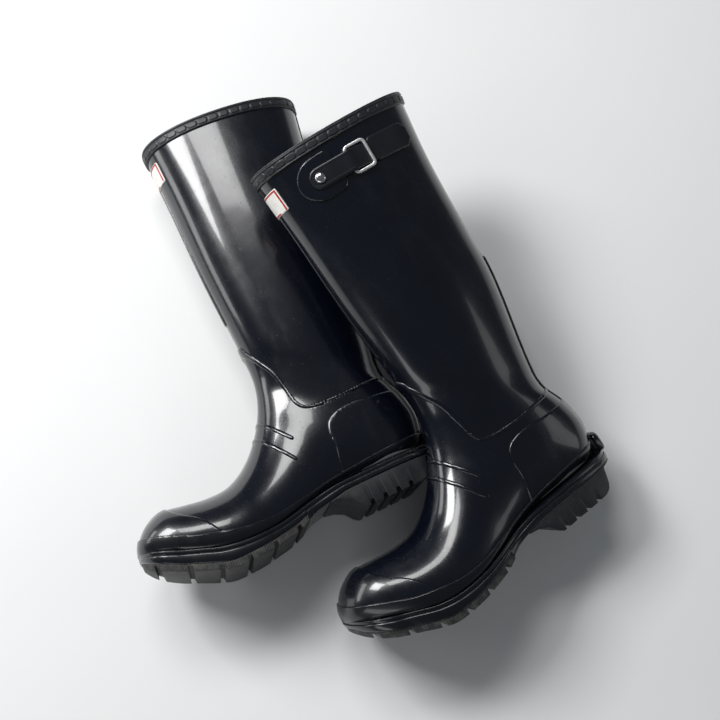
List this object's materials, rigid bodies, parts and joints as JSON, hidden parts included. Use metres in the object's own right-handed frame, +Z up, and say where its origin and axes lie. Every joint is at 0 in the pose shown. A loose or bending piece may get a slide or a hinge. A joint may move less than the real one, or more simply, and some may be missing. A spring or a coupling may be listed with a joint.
{
  "type": "rubber boots",
  "caption": "Tall black rubber boots, one lying across the other, each with a gusset strap, a wire buckle frame and a lugged sole.",
  "frame": {"origin": "on the floor, under the middle of the box round the pair as it lies", "axes": "+Y along the right boot's leg, from its sole to its top; -X to the right boot's toe; +Z up from the floor"},
  "size_m": [0.4258, 0.5366, 0.1904],
  "materials": {
    "gloss_rubber": "gloss",
    "strap_rubber": "satin",
    "binding_rubber": "matte, embossed",
    "sole_rubber": "matte",
    "knit_lining": "knitted",
    "insole_felt": "felt",
    "filler_board": "pressed fibre",
    "shank_steel": "brushed",
    "label_plastic": "satin",
    "nickel": "satin nickel plate"
  },
  "bodies": {
    "right_boot": {"right_leg_shell": "gloss_rubber", "right_foot_shell": "gloss_rubber", "right_lining": "knit_lining", "right_toe_cap": "gloss_rubber", "right_heel_counter": "gloss_rubber", "right_foxing_band": "gloss_rubber", "right_front_strip": "gloss_rubber", "right_back_strip_upper": "gloss_rubber", "right_back_strip_lower": "gloss_rubber", "right_instep_ridge_upper": "gloss_rubber", "right_instep_ridge_lower": "gloss_rubber", "right_top_binding": "binding_rubber", "right_front_label": "label_plastic", "right_outsole": "sole_rubber", "right_heel_block": "sole_rubber", "right_heel_spur": "sole_rubber", "right_insole": "insole_felt", "right_midsole_filler": "filler_board", "right_shank": "shank_steel", "right_strap_patch": "gloss_rubber", "right_strap": "strap_rubber", "right_strap_stud": "nickel"},
    "left_boot": {"left_leg_shell": "gloss_rubber", "left_foot_shell": "gloss_rubber", "left_lining": "knit_lining", "left_toe_cap": "gloss_rubber", "left_heel_counter": "gloss_rubber", "left_foxing_band": "gloss_rubber", "left_front_strip": "gloss_rubber", "left_back_strip_upper": "gloss_rubber", "left_back_strip_lower": "gloss_rubber", "left_instep_ridge_upper": "gloss_rubber", "left_instep_ridge_lower": "gloss_rubber", "left_top_binding": "binding_rubber", "left_front_label": "label_plastic", "left_outsole": "sole_rubber", "left_heel_block": "sole_rubber", "left_heel_spur": "sole_rubber", "left_insole": "insole_felt", "left_midsole_filler": "filler_board", "left_shank": "shank_steel", "left_strap_patch": "gloss_rubber", "left_strap": "strap_rubber", "left_strap_stud": "nickel"},
    "right_buckle": {"right_buckle_frame": "nickel"},
    "left_buckle": {"left_buckle_frame": "nickel"}
  },
  "joints": [
    {"name": "left_boot_lift", "type": "slide", "parent": "right_boot", "child": "left_boot", "axis": [0, 0, 1], "range_m": [0, 0.2]},
    {"name": "right_buckle_swing", "type": "hinge", "parent": "right_boot", "child": "right_buckle", "pos_m": [0.00841, 0.2297, 0.00582], "axis": [0.0673, 0.9977, 0.0097], "range_deg": [0, 120]},
    {"name": "left_buckle_swing", "type": "hinge", "parent": "left_boot", "child": "left_buckle", "pos_m": [0.10036, 0.11721, 0.18028], "axis": [0.0972, -0.9562, -0.2761], "range_deg": [0, 120]}
  ]
}
